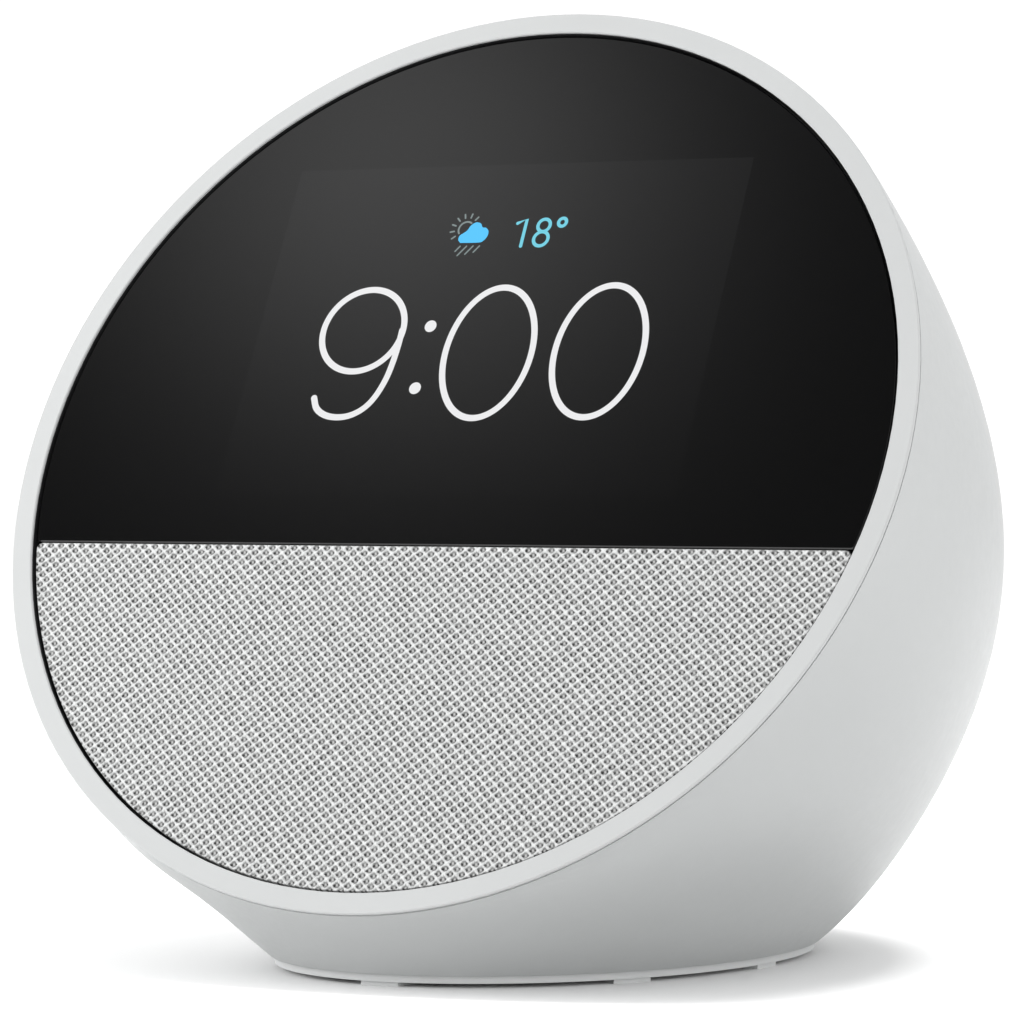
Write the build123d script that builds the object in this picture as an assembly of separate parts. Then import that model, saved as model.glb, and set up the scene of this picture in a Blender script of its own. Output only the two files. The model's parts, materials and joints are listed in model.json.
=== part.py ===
"""Tabletop smart display: a round leaning face over a rounded body that stands on an oval base.

Millimetres, +Z up.  The origin is on the table, under the middle of the body.  The face looks
towards -Y and leans back.  Front parts are drawn in the face's own frame (x across, y up the
face, z out of it) and then placed, and the buttons are drawn in the frame of the button row.
"""
from build123d import *
import math
import os

# ---------------------------------------------------------------- driving dimensions
FACE_RADIUS = 56.5          # outside of the front ring
FACE_LEAN = 26.95           # degrees that the face leans back from upright
FACE_CENTRE_Y = -26.51
FACE_CENTRE_Z = 59.05
RING_WIDTH = 2.5            # flat white band round the face
RING_EDGE = 0.35            # thickness of the ring where it shows
RING_SKIRT_INNER = 54.55    # thin wall behind the ring that centres it in the shell
RING_SKIRT_OUTER = 55.2
RING_SKIRT_DEPTH = 5.0
SEAM = 0.25                 # small groove between ring and shell
WALL = 1.8                  # shell wall

BASE_HALF_WIDTH = 29.03     # oval lower edge of the shell
BASE_HALF_DEPTH = 40.05
BASE_CENTRE_Y = -3.0
BASE_EDGE_Z = 1.4
BACK_HANDLE = 79.6          # how straight the shell leaves the ring
BACK_HANDLE_DROP = 4.3
BACK_LOW_HANDLE = (56.87, 16.9)
FRONT_SHAPE_POWER = 2.3     # how the sections fan out at the front
FRONT_HOLLOW = 0.5          # how far the short front is drawn in
SECTIONS = 10

SPLIT_Y = -12.05            # line between window and fabric, on the face
SPLIT_GAP = 0.06            # half of the dark gap along that line
EDGE_GAP = 0.35             # gap between the ring and what it frames
WINDOW_CORNER = 0.4
FABRIC_CORNER = 0.7

WINDOW_FRONT = -0.5         # levels on the face: 0 is the ring's front, minus is into the body
WINDOW_BACK = -1.6
ADHESIVE_BACK = -1.8
TOUCH_BACK = -2.1
DISPLAY_BACK = -4.5
PLATE_FRONT = -4.2          # the chassis plate
PLATE_BACK = -6.2
BRACKET_BACK = -6.9
BOARD_FRONT = -12.0         # the main board
BOARD_BACK = -13.6
SHIELD_BACK = -16.2
PAD_BACK = -17.2
SPREADER_BACK = -18.7

FABRIC_FRONT = -0.55
GRILLE_FRONT = -1.25
GRILLE_BACK = -2.5
FABRIC_WRAP = 0.45
LOWER_LIP = -2.9
DIVIDER = 1.3               # rib of the chassis between window and grille

ACTIVE_WIDTH = 57.6         # 72 mm (2.83 inch) display, 4:3
ACTIVE_HEIGHT = 43.2
ACTIVE_CENTRE_Y = 15.5
PANEL_BORDER = 1.5
PANEL_LEDGE = 4.5           # lower border, where the drivers sit

SPEAKER_Y = -31.0           # 44 mm driver
SPEAKER_RADIUS = 22.0
SPEAKER_OPENING = 19.0
SURROUND_OUTER = 18.9
SURROUND_ROLL_OUTER = 17.4
CONE_RADIUS = 13.9
COIL_RADIUS = 6.6
MAGNET_RADIUS = 13.0
CHAMBER_RADIUS = 24.5
CHAMBER_WALL = 1.5
CHAMBER_BACK = -28.0
CHAMBER_FLOOR_Z = 5.4

BUTTON_ALONG = 0.125        # place of the button row along the back curve, 0 at the ring
BUTTON_RADIUS = 5.0
BUTTON_SPACING = 13.5
BUTTON_CLEARANCE = 0.25
BUTTON_PROUD = 0.35
BUTTON_FLANGE = 0.7
STEM_END = -7.4
SWITCH_TOP = -8.1
SWITCH_BOARD_TOP = -11.0
SWITCH_BOARD_BACK = -12.2
ICON_DEPTH = 0.15

INLET_Z = 17.0              # power inlet, low in the back, facing +Y
INLET_FLOOR_Y = 45.2        # flat floor of the round recess
INLET_RECESS_RADIUS = 7.0
INLET_RADIUS = 4.4
INLET_LENGTH = 4.0
JACK_DEPTH = 14.0
JACK_BORE_RADIUS = 2.9

PLATE_BOTTOM = BASE_EDGE_Z  # base plate
PLATE_TOP = 3.4
FOOT_HEIGHT = 0.5           # pads under the foot ring
FOOT_PADS = 8
PAD_WIDTH = 4.7
FOOT_INSET = 0.6
FOOT_RING_WIDTH = 9.0

SCREW_SHANK = 1.0
PILOT = 1.05
SCREW_HOLE = 1.3

BOSS_BACK = -17.0           # inner end of the chassis screw bosses
CHASSIS_SCREW_RADIUS = 50.5
CHASSIS_SCREW_HEAD = 2.1
CHASSIS_SCREW_ANGLES = (15, 62, 118, 165, 208, 332)
BOARD_POSTS = [(side * 38.5, y) for side in (-1, 1) for y in (3, 27)]
BRACKET_SCREWS = [(side * 32.8, y) for side in (-1, 1) for y in (-4, 34)]
CHAMBER_EARS = (40, 140, 190, 350)
SPEAKER_SCREW_ANGLES = (45, 135, 225, 315)
GRILLE_PEGS = [(side * x, y) for side in (-1, 1) for x, y in ((40, -20), (33, -37.5))]
BASE_SCREWS = [(side * x, y) for side in (-1, 1) for x, y in ((21.5, -14), (17.5, 19.5))]
BUTTON_BOARD_SCREWS = (-22.0, 22.0)

LEAN = math.radians(FACE_LEAN)
OUT_OF_FACE = (0, -math.cos(LEAN), math.sin(LEAN))
FACE = Plane(origin=(0, FACE_CENTRE_Y, FACE_CENTRE_Z), x_dir=(1, 0, 0), z_dir=OUT_OF_FACE)


# ---------------------------------------------------------------- simple solids
def disc(radius, top, bottom, x=0.0, y=0.0):
    """Round solid between two levels."""
    return Pos(x, y, (top + bottom) / 2) * Cylinder(radius, top - bottom)


def tube(outer, inner, top, bottom, x=0.0, y=0.0):
    """Round wall between two levels."""
    return disc(outer, top, bottom, x, y) - disc(inner, top + 1, bottom - 1, x, y)


def block(width, height, top, bottom, x=0.0, y=0.0):
    """Rectangular solid between two levels."""
    return Pos(x, y, (top + bottom) / 2) * Box(width, height, top - bottom)


def prism(sketch, top, bottom):
    """Upright solid with the sketch's outline between two levels."""
    return extrude(Pos(0, 0, bottom) * sketch, amount=top - bottom)


def spin(points, x=0.0, y=0.0):
    """Ring or disc from an outline of (radius, level) points."""
    outline = make_face(Plane.XZ * Polyline(points, close=True))
    return Pos(x, y, 0) * revolve(outline, Axis.Z)


def screw(head_radius, head_height, length, head_level, x, y, pointing=-1):
    """Pan-head screw with a cross recess; the shank goes from head_level in the pointing direction."""
    far = head_level + pointing * length
    head_far = head_level - pointing * head_height
    head = disc(head_radius, max(head_level, head_far), min(head_level, head_far), x, y)
    rims = head.edges().filter_by(GeomType.CIRCLE).sort_by(Axis.Z)
    rim = rims[-1] if pointing < 0 else rims[0]
    head = fillet([rim], head_height * 0.4)
    slot_low = head_far + pointing * head_height * 0.5
    slot_top = max(slot_low, head_far)
    slot_bottom = min(slot_low, head_far)
    for width, height in ((head_radius * 1.1, 0.4), (0.4, head_radius * 1.1)):
        head -= block(width, height, slot_top, slot_bottom, x, y)
    shank = disc(SCREW_SHANK, max(head_level, far), min(head_level, far), x, y)
    return head + shank


def around(radius, angle):
    """Point on a circle, angle in degrees."""
    return radius * math.cos(math.radians(angle)), radius * math.sin(math.radians(angle))


def group(solids):
    """Several separate solids in one node."""
    return Compound(children=list(solids))


# ---------------------------------------------------------------- outline of the body
def add(a, b, scale=1.0):
    return tuple(p + scale * q for p, q in zip(a, b))


FACE_CENTRE = (FACE_CENTRE_Y, FACE_CENTRE_Z)
BASE_BACK = (BASE_CENTRE_Y + BASE_HALF_DEPTH, BASE_EDGE_Z)
BASE_FRONT = (BASE_CENTRE_Y - BASE_HALF_DEPTH, BASE_EDGE_Z)
INTO_FACE = (math.cos(LEAN), -math.sin(LEAN))
UP_FACE = (math.sin(LEAN), math.cos(LEAN))
RING_TOP = add(FACE_CENTRE, UP_FACE, FACE_RADIUS)
RING_BOTTOM = add(FACE_CENTRE, UP_FACE, -FACE_RADIUS)
BACK_HIGH_HANDLE = add(add(RING_TOP, INTO_FACE, BACK_HANDLE), UP_FACE, -BACK_HANDLE_DROP)


def back_point(s):
    """Middle line of the back, as (y, z), from the ring (s = 0) to the base (s = 1)."""
    t = 1 - s
    weights = (t ** 3, 3 * t * t * s, 3 * t * s * s, s ** 3)
    corners = (RING_TOP, BACK_HIGH_HANDLE, BACK_LOW_HANDLE, BASE_BACK)
    return tuple(sum(w * c[i] for w, c in zip(weights, corners)) for i in (0, 1))


def front_point(s):
    """Middle line of the short front, as (y, z), from the ring to the base."""
    run = add(BASE_FRONT, RING_BOTTOM, -1)
    reach = s ** FRONT_SHAPE_POWER
    point = add(RING_BOTTOM, run, reach)
    return add(point, front_normal(), FRONT_HOLLOW * math.sin(math.pi * reach))


def front_normal():
    """Direction into the body, square to the short front."""
    run = add(BASE_FRONT, RING_BOTTOM, -1)
    length = math.hypot(*run)
    return (-run[1] / length, run[0] / length)


def back_normal(s):
    """Direction out of the body, square to the back curve."""
    low, high = back_point(max(s - 0.001, 0)), back_point(min(s + 0.001, 1))
    run = add(high, low, -1)
    length = math.hypot(*run)
    return (-run[1] / length, run[0] / length)


def side_factor(s):
    """Half width of a section against half its chord."""
    flare = -0.028 * math.sin(math.pi * s) + 0.015 * math.sin(2 * math.pi * s)
    return 1 + flare + (BASE_HALF_WIDTH / BASE_HALF_DEPTH - 1) * s * s


def section(s, inset):
    """Oval section of the body, from the face plane (s = 0) to the level base (s = 1)."""
    back, front = back_point(s), front_point(s)
    half_width = math.hypot(*add(back, front, -1)) / 2 * side_factor(s) - inset
    back = add(back, back_normal(s), -inset)
    front = add(front, front_normal(), inset)
    chord = add(back, front, -1)
    half_chord = math.hypot(*chord) / 2
    centre = add(front, chord, 0.5)
    out = (0, -chord[1], chord[0])
    plane = Plane(origin=(0, *centre), x_dir=(1, 0, 0), z_dir=out)
    return plane * Ellipse(half_width, half_chord)


def body_solid(inset, overrun=0.0):
    """The body's outer form, moved in by inset; overrun makes it stick out at face and base."""
    sections = [section(i / SECTIONS, inset) for i in range(SECTIONS + 1)]
    solid = loft(sections)
    if overrun:
        solid += extrude(sections[0], amount=overrun, dir=OUT_OF_FACE)
        solid += extrude(sections[-1], amount=overrun, dir=(0, 0, -1))
    return solid


OUTER = body_solid(0)
INNER = body_solid(WALL, overrun=4)

button_back = back_point(BUTTON_ALONG)
button_out = back_normal(BUTTON_ALONG)
BUTTON_PLANE = Plane(origin=(0, *button_back), x_dir=(1, 0, 0), z_dir=(0, *button_out))


def oval(inset):
    """Outline of the base, moved in."""
    return Pos(0, BASE_CENTRE_Y) * Ellipse(BASE_HALF_WIDTH - inset, BASE_HALF_DEPTH - inset)


def sag(x):
    """How far the body's top falls away, x to the side of the middle."""
    return FACE_RADIUS - math.sqrt(FACE_RADIUS ** 2 - x ** 2)


# ---------------------------------------------------------------- casing
def rear_shell():
    """One-piece rounded shell: open at the face and the base, with bosses inside."""
    shell = OUTER - INNER
    fill = OUTER & INNER
    for angle in CHASSIS_SCREW_ANGLES:
        x, y = around(CHASSIS_SCREW_RADIUS, angle)
        rib = Rot(0, 0, angle) * block(6, 2, PLATE_BACK, BOSS_BACK, CHASSIS_SCREW_RADIUS + 4, 0)
        shell += (FACE * (disc(2.6, PLATE_BACK, BOSS_BACK, x, y) + rib)) & fill
        shell -= FACE * disc(PILOT, PLATE_BACK + 1, BOSS_BACK + 1, x, y)
    for x, y in BASE_SCREWS:
        rib = block(12, 2, 14, PLATE_TOP, x + math.copysign(6, x), y)
        shell += (disc(3.0, 14, PLATE_TOP, x, y) + rib) & fill
        shell -= disc(PILOT, 13, 0, x, y)
    for x in BUTTON_BOARD_SCREWS:
        shell += (BUTTON_PLANE * disc(2.3, 0, SWITCH_BOARD_TOP, x, 0)) & fill
        shell -= BUTTON_PLANE * disc(PILOT, SWITCH_BOARD_TOP + 4, SWITCH_BOARD_TOP - 1, x, 0)
    shell += inlet_collar() & OUTER
    shell -= inlet_space()
    shell -= FACE * disc(FACE_RADIUS + 10, 20, -RING_EDGE)
    shell -= FACE * disc(RING_SKIRT_OUTER + 0.08, 0, -RING_SKIRT_DEPTH - 0.2)
    shell -= FACE * tube(FACE_RADIUS + 2, FACE_RADIUS - SEAM, -RING_EDGE + 1, -RING_EDGE - SEAM)
    hole = BUTTON_RADIUS + BUTTON_CLEARANCE
    for x in (-BUTTON_SPACING, 0, BUTTON_SPACING):
        shell -= BUTTON_PLANE * disc(hole, 6, -WALL - 5, x, 0)
    for x in (-BUTTON_SPACING / 2, BUTTON_SPACING / 2):
        shell -= BUTTON_PLANE * disc(0.4, 6, -WALL - 2, x, 0)
    return shell


def inlet_collar():
    """Thick round part of the shell behind the inlet's recess."""
    depth = 12
    middle = INLET_FLOOR_Y - INLET_LENGTH + depth / 2
    return Pos(0, middle, INLET_Z) * Rot(90, 0, 0) * Cylinder(9, depth)


def inlet_space():
    """Recess and bore of the inlet."""
    recess = Pos(0, INLET_FLOOR_Y + 10, INLET_Z) * Rot(90, 0, 0) * Cylinder(INLET_RECESS_RADIUS, 20)
    bore = Pos(0, INLET_FLOOR_Y, INLET_Z) * Rot(90, 0, 0) * Cylinder(INLET_RADIUS, 3 * INLET_LENGTH)
    return recess + bore


def front_ring():
    """Flat white ring that frames the face, with a skirt behind it that centres it."""
    inner = FACE_RADIUS - RING_WIDTH
    return FACE * spin([
        (inner, -0.12), (inner + 0.12, 0), (FACE_RADIUS - 0.12, 0), (FACE_RADIUS, -0.12),
        (FACE_RADIUS, -RING_EDGE), (RING_SKIRT_OUTER, -RING_EDGE),
        (RING_SKIRT_OUTER, -RING_SKIRT_DEPTH), (RING_SKIRT_INNER, -RING_SKIRT_DEPTH),
        (RING_SKIRT_INNER, -RING_EDGE), (inner, -RING_EDGE)])


def window_outline(inset):
    """Large upper part of the face, with small rounded corners."""
    radius = FACE_RADIUS - RING_WIDTH - EDGE_GAP - inset
    edge = SPLIT_Y + SPLIT_GAP + inset
    cut = Circle(radius) & Pos(0, edge + radius) * Rectangle(3 * radius, 2 * radius)
    return fillet(cut.vertices(), WINDOW_CORNER)


def grille_outline(inset):
    """Lower part of the face, with small rounded corners."""
    radius = FACE_RADIUS - RING_WIDTH - EDGE_GAP - inset
    edge = SPLIT_Y - SPLIT_GAP - inset
    cut = Circle(radius) & Pos(0, edge - radius) * Rectangle(3 * radius, 2 * radius)
    return fillet(cut.vertices(), FABRIC_CORNER)


PANEL_WIDTH = ACTIVE_WIDTH + 2 * PANEL_BORDER
PANEL_TOP_Y = ACTIVE_CENTRE_Y + ACTIVE_HEIGHT / 2 + PANEL_BORDER
PANEL_LOW_Y = ACTIVE_CENTRE_Y - ACTIVE_HEIGHT / 2 - PANEL_LEDGE
PANEL_HEIGHT = PANEL_TOP_Y - PANEL_LOW_Y
PANEL_CENTRE_Y = (PANEL_TOP_Y + PANEL_LOW_Y) / 2
CHASSIS_RADIUS = FACE_RADIUS - RING_WIDTH - 0.15
RIM_RADIUS = RING_SKIRT_INNER - 0.15
LIP_INNER = CHASSIS_RADIUS - 1.9


def front_chassis():
    """Moulded frame behind the face: holds window, display, speaker and main board."""
    part = disc(CHASSIS_RADIUS, PLATE_FRONT, PLATE_BACK)
    part += tube(RIM_RADIUS, LIP_INNER, ADHESIVE_BACK, PLATE_FRONT)
    divider_low = SPLIT_Y
    part -= block(2 * FACE_RADIUS, FACE_RADIUS, 0, LOWER_LIP, 0, divider_low - FACE_RADIUS / 2)
    divider_middle = divider_low + DIVIDER / 2
    divider = block(2 * CHASSIS_RADIUS, DIVIDER, ADHESIVE_BACK, PLATE_FRONT, 0, divider_middle)
    part += divider & disc(CHASSIS_RADIUS, 0, PLATE_BACK)
    part += tube(RIM_RADIUS, FACE_RADIUS - RING_WIDTH, -RING_EDGE - 0.1, PLATE_FRONT)
    part -= block(PANEL_WIDTH + 0.6, PANEL_HEIGHT + 0.6, 1, PLATE_BACK - 1, 0, PANEL_CENTRE_Y)
    part -= disc(SPEAKER_OPENING, PLATE_FRONT + 1, PLATE_BACK - 1, 0, SPEAKER_Y)
    for x, y in BOARD_POSTS:
        part += disc(2.5, PLATE_BACK, BOARD_FRONT, x, y)
        part -= disc(PILOT, PLATE_BACK - 1, BOARD_FRONT - 1, x, y)
    for angle in CHASSIS_SCREW_ANGLES:
        x, y = around(CHASSIS_SCREW_RADIUS, angle)
        part -= disc(SCREW_HOLE, PLATE_FRONT + 1, PLATE_BACK - 1, x, y)
        part -= disc(CHASSIS_SCREW_HEAD + 0.25, 0, PLATE_FRONT, x, y)
    for x, y in GRILLE_PEGS:
        part -= disc(1.25, PLATE_FRONT + 1, PLATE_BACK - 1, x, y)
    for x, y in BRACKET_SCREWS + chamber_ear_points() + speaker_screw_points():
        part -= disc(PILOT, PLATE_FRONT + 1, PLATE_BACK - 1, x, y)
    return FACE * part


def base_plate():
    """Oval bottom cover with recessed screws and two posts for the power board."""
    plate = prism(oval(WALL + 0.2), PLATE_TOP, PLATE_BOTTOM)
    for x, y in BASE_SCREWS:
        plate -= disc(SCREW_HOLE, PLATE_TOP + 1, PLATE_BOTTOM - 1, x, y)
        plate -= disc(2.6, PLATE_BOTTOM + 1.4, PLATE_BOTTOM - 1, x, y)
    for x, y in POWER_BOARD_SCREWS:
        plate += disc(2.4, POWER_BOARD_LOW, PLATE_TOP, x, y)
        plate -= disc(PILOT, POWER_BOARD_LOW + 1, PLATE_TOP, x, y)
    return plate


def foot_ring():
    """Flat oval foot with eight low pads that touch the table."""
    top = BASE_EDGE_Z
    ring = prism(oval(FOOT_INSET), top, FOOT_HEIGHT) - prism(oval(FOOT_RING_WIDTH), top + 1, -1)
    spoke = block(30, PAD_WIDTH, FOOT_HEIGHT, 0, 35, 0)
    turns = [360 / FOOT_PADS * i for i in range(FOOT_PADS)]
    pads = group(Pos(0, BASE_CENTRE_Y, 0) * Rot(0, 0, turn) * spoke for turn in turns)
    band = prism(oval(FOOT_INSET + 0.3), FOOT_HEIGHT, 0)
    band -= prism(oval(FOOT_INSET + 6), FOOT_HEIGHT + 1, -1)
    return ring + (pads & band)


def base_screws():
    """Four screws that hold the base plate to the shell."""
    return group(screw(2.3, 1.3, 9, PLATE_BOTTOM + 1.4, x, y, pointing=1) for x, y in BASE_SCREWS)


def chassis_screws():
    """Six screws that hold the chassis to the shell, hidden by window and grille."""
    return FACE * group(
        screw(CHASSIS_SCREW_HEAD, 1.2, 11, PLATE_FRONT, *around(CHASSIS_SCREW_RADIUS, angle))
        for angle in CHASSIS_SCREW_ANGLES)


# ---------------------------------------------------------------- display
def display_window():
    """Black glass window."""
    glass = prism(window_outline(0), WINDOW_FRONT, WINDOW_BACK)
    rim = glass.edges().group_by(Axis.Z)[-1]
    return FACE * chamfer(rim, 0.12)


def window_adhesive():
    """Narrow frame of double-sided tape behind the window's edge."""
    frame = prism(window_outline(0.3), WINDOW_BACK, ADHESIVE_BACK)
    return FACE * (frame - prism(window_outline(1.5), WINDOW_BACK + 1, ADHESIVE_BACK - 1))


def touch_panel():
    """Touch sensor bonded behind the window."""
    width, height = PANEL_WIDTH - 0.6, PANEL_HEIGHT - 2.5
    return FACE * block(width, height, WINDOW_BACK, TOUCH_BACK, 0, PANEL_CENTRE_Y + 1)


def display_panel():
    """Liquid crystal module with its lower driver ledge."""
    panel = block(PANEL_WIDTH, PANEL_HEIGHT, TOUCH_BACK, DISPLAY_BACK, 0, PANEL_CENTRE_Y)
    ledge_height = 2 * (PANEL_LEDGE - 1)
    ledge = block(PANEL_WIDTH + 1, ledge_height, TOUCH_BACK + 1, TOUCH_BACK - 0.8, 0, PANEL_LOW_Y)
    return FACE * (panel - ledge)


def display_cushion():
    """Foam frame that presses the display against the window."""
    middle = PANEL_CENTRE_Y + 2
    frame = block(PANEL_WIDTH - 1, PANEL_HEIGHT - 5, DISPLAY_BACK, PLATE_BACK, 0, middle)
    frame -= block(PANEL_WIDTH - 9, PANEL_HEIGHT - 13, DISPLAY_BACK + 1, PLATE_BACK - 1, 0, middle)
    return FACE * frame


def display_bracket():
    """Pressed metal plate that backs the display."""
    low, high = -6.0, 41.0
    plate = block(71, high - low, PLATE_BACK, BRACKET_BACK, 0, (low + high) / 2)
    plate = plate & disc(49.5, 0, BRACKET_BACK - 1)
    for x in (-15, 0, 15):
        plate -= block(9, 26, PLATE_BACK + 1, BRACKET_BACK - 1, x, 17)
    for x, y in BRACKET_SCREWS:
        plate -= disc(SCREW_HOLE, PLATE_BACK + 1, BRACKET_BACK - 1, x, y)
    return FACE * plate


def display_bracket_screws():
    """Four short screws through the bracket into the chassis."""
    return FACE * group(screw(1.7, 1.0, 2.6, BRACKET_BACK, x, y, pointing=1) for x, y in BRACKET_SCREWS)


def display_flex():
    """Flat ribbon from the display to the main board."""
    route = FilletPolyline((-9.2, DISPLAY_BACK), (-9.2, -9.6), (-4.0, -11.2), (1.5, -11.2), radius=1.2)
    ribbon = extrude(Plane.YZ * trace(route, 0.25), amount=10)
    return FACE * (Pos(14, 0, 0) * ribbon)


# ---------------------------------------------------------------- speaker
def speaker_fabric():
    """Knitted cover, stretched over the grille and folded round its edge."""
    cover = prism(grille_outline(0), FABRIC_FRONT, GRILLE_BACK - 0.2)
    cover -= prism(grille_outline(FABRIC_WRAP), GRILLE_FRONT, GRILLE_BACK - 1)
    return FACE * cover


def speaker_grille():
    """Stiff plate under the fabric, drilled in front of the driver, with four pegs."""
    plate = prism(grille_outline(FABRIC_WRAP), GRILLE_FRONT, GRILLE_BACK)
    pitch = 3.4
    rows = int(SPEAKER_OPENING / (pitch * 0.866)) + 1
    holes = []
    for row in range(-rows, rows + 1):
        for column in range(-rows, rows + 1):
            x = pitch * (column + (0.5 if row % 2 else 0.0))
            y = pitch * 0.866 * row
            if math.hypot(x, y) < SPEAKER_OPENING - 2.2:
                holes.append(disc(1.1, GRILLE_FRONT + 1, GRILLE_BACK - 1, x, SPEAKER_Y + y))
    plate -= holes
    for x, y in GRILLE_PEGS:
        plate += disc(1.2, GRILLE_BACK, PLATE_BACK + 0.4, x, y)
    return FACE * plate


def speaker_screw_points():
    points = [around(SPEAKER_RADIUS - 1.6, angle) for angle in SPEAKER_SCREW_ANGLES]
    return [(x, SPEAKER_Y + y) for x, y in points]


def chamber_ear_points():
    return [(x, SPEAKER_Y + y) for x, y in (around(CHAMBER_RADIUS + 3, a) for a in CHAMBER_EARS)]


def speaker_gasket():
    """Foam ring between driver and chassis."""
    ring = tube(SPEAKER_RADIUS, SPEAKER_OPENING, PLATE_BACK, PLATE_BACK - 0.6, 0, SPEAKER_Y)
    for x, y in speaker_screw_points():
        ring -= disc(SCREW_HOLE, PLATE_BACK + 1, PLATE_BACK - 1, x, y)
    return FACE * ring


def speaker_frame():
    """Pressed basket: flange, sloping wall with six windows, and a ring on the magnet."""
    top = PLATE_BACK - 0.6
    frame = spin([
        (17.6, top), (SPEAKER_RADIUS, top), (SPEAKER_RADIUS, top - 1.2), (18.8, top - 1.2),
        (15.0, -12.6), (15.0, -15.2), (10.0, -15.2), (10.0, -14.2), (13.4, -14.2), (13.4, -12.9),
        (13.9, -12.9), (17.6, top - 1.4)], 0, SPEAKER_Y)
    for i in range(6):
        slot = Rot(0, 0, 60 * i + 30) * Pos(16.5, 0, -10.6) * Box(8, 8.5, 3.2)
        frame -= Pos(0, SPEAKER_Y, 0) * slot
    for x, y in speaker_screw_points():
        frame -= disc(SCREW_HOLE, top + 1, top - 3, x, y)
    return FACE * frame


def speaker_screws():
    """Four screws through the driver's flange into the chassis."""
    level = PLATE_BACK - 1.8
    return FACE * group(
        screw(1.7, 1.0, 3.4, level, x, y, pointing=1) for x, y in speaker_screw_points())


def speaker_surround():
    """Half-round rubber roll between flange and cone."""
    outer, inner, thick = SURROUND_ROLL_OUTER, CONE_RADIUS - 0.3, 0.35
    land = PLATE_BACK - 0.6
    middle = (outer + inner) / 2
    rise = (outer - inner) / 2
    over = ThreePointArc((outer, land + thick), (middle, land + rise + thick), (inner, land + thick))
    under = ThreePointArc((inner + thick, land), (middle, land + rise), (outer - thick, land))
    outline = Wire([
        Line((SURROUND_OUTER, land), (SURROUND_OUTER, land + thick)),
        Line((SURROUND_OUTER, land + thick), (outer, land + thick)),
        over,
        Line((inner, land + thick), (inner - 1.2, land + thick)),
        Line((inner - 1.2, land + thick), (inner - 1.2, land)),
        Line((inner - 1.2, land), (inner + thick, land)),
        under,
        Line((outer - thick, land), (SURROUND_OUTER, land))])
    roll = revolve(make_face(Plane.XZ * outline), Axis.Z)
    return FACE * (Pos(0, SPEAKER_Y, 0) * roll)


def speaker_cone():
    """Shallow stiff cone with a flat rim under the surround."""
    top, thick, neck = PLATE_BACK - 0.6, 0.4, -10.6
    return FACE * spin([
        (CONE_RADIUS, top), (CONE_RADIUS, top - thick), (12.2, top - thick),
        (COIL_RADIUS, neck - thick), (COIL_RADIUS, neck), (12.4, top)], 0, SPEAKER_Y)


def dust_cap():
    """Small dome that closes the cone."""
    edge, low, crown = COIL_RADIUS - 0.35, -10.9, -8.4
    dome = ThreePointArc((-edge, low), (0, crown), (edge, low))
    outline = make_face(Plane.XZ * Wire([dome, Line((edge, low), (-edge, low))]))
    half = outline & Plane.XZ * Pos(edge, 0) * Rectangle(2 * edge, 40)
    return FACE * (Pos(0, SPEAKER_Y, 0) * revolve(half, Axis.Z))


def voice_coil():
    """Thin former under the cone, with its winding in the magnet's gap."""
    return FACE * spin([
        (COIL_RADIUS - 0.3, -11.0), (COIL_RADIUS, -11.0),
        (COIL_RADIUS, -14.8), (COIL_RADIUS + 0.4, -14.8),
        (COIL_RADIUS + 0.4, -17.6), (COIL_RADIUS - 0.3, -17.6)], 0, SPEAKER_Y)


def spider():
    """Corrugated centring disc between former and basket."""
    inner, outer, level, thick, waves, height = COIL_RADIUS + 0.05, 13.4, -13.2, 0.3, 3, 0.35
    steps = 8 * waves
    top = []
    for i in range(steps + 1):
        share = i / steps
        wave = height * math.sin(2 * math.pi * waves * share)
        top.append((inner + (outer - inner) * share, level + wave))
    bottom = [(radius, height_there - thick) for radius, height_there in reversed(top)]
    return FACE * spin(top + bottom, 0, SPEAKER_Y)


def speaker_top_plate():
    """Steel washer round the coil."""
    return FACE * tube(MAGNET_RADIUS, COIL_RADIUS + 0.75, -15.2, -17.2, 0, SPEAKER_Y)


def speaker_magnet():
    """Ring magnet."""
    return FACE * tube(MAGNET_RADIUS, COIL_RADIUS + 2.4, -17.2, -22.2, 0, SPEAKER_Y)


def speaker_yoke():
    """Steel back plate with the pole inside the coil."""
    return FACE * spin([
        (0, -15.0), (COIL_RADIUS - 0.8, -15.0), (COIL_RADIUS - 0.8, -22.2), (MAGNET_RADIUS, -22.2),
        (MAGNET_RADIUS, -24.2), (0, -24.2)], 0, SPEAKER_Y)


def acoustic_chamber():
    """Sealed cup behind the driver, flattened where it meets base and front."""
    def form(shrink, top, bottom):
        cup = FACE * disc(CHAMBER_RADIUS - shrink, top, bottom, 0, SPEAKER_Y)
        room = Pos(0, 0, CHAMBER_FLOOR_Z + shrink + 100) * Box(300, 300, 200)
        return cup & room & body_solid(WALL + 0.7 + shrink)

    cup = form(0, PLATE_BACK, CHAMBER_BACK)
    cup -= form(CHAMBER_WALL, PLATE_BACK + 1, CHAMBER_BACK + CHAMBER_WALL)
    for x, y in chamber_ear_points():
        ear = disc(2.9, PLATE_BACK, PLATE_BACK - 3, x, y)
        web_x, web_y = x * 0.93, SPEAKER_Y + (y - SPEAKER_Y) * 0.93
        ear += disc(2.9, PLATE_BACK, PLATE_BACK - 3, web_x, web_y)
        ear -= disc(CHAMBER_RADIUS - 0.5, PLATE_BACK + 1, PLATE_BACK - 9, 0, SPEAKER_Y)
        ear -= disc(SCREW_HOLE, PLATE_BACK + 1, PLATE_BACK - 9, x, y)
        cup += FACE * ear
    return cup - FACE * grommet_hole(1.6)


def chamber_screws():
    """Four screws that hold the chamber to the chassis."""
    level = PLATE_BACK - 3
    return FACE * group(screw(1.9, 1.1, 4.6, level, x, y, pointing=1) for x, y in chamber_ear_points())


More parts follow.
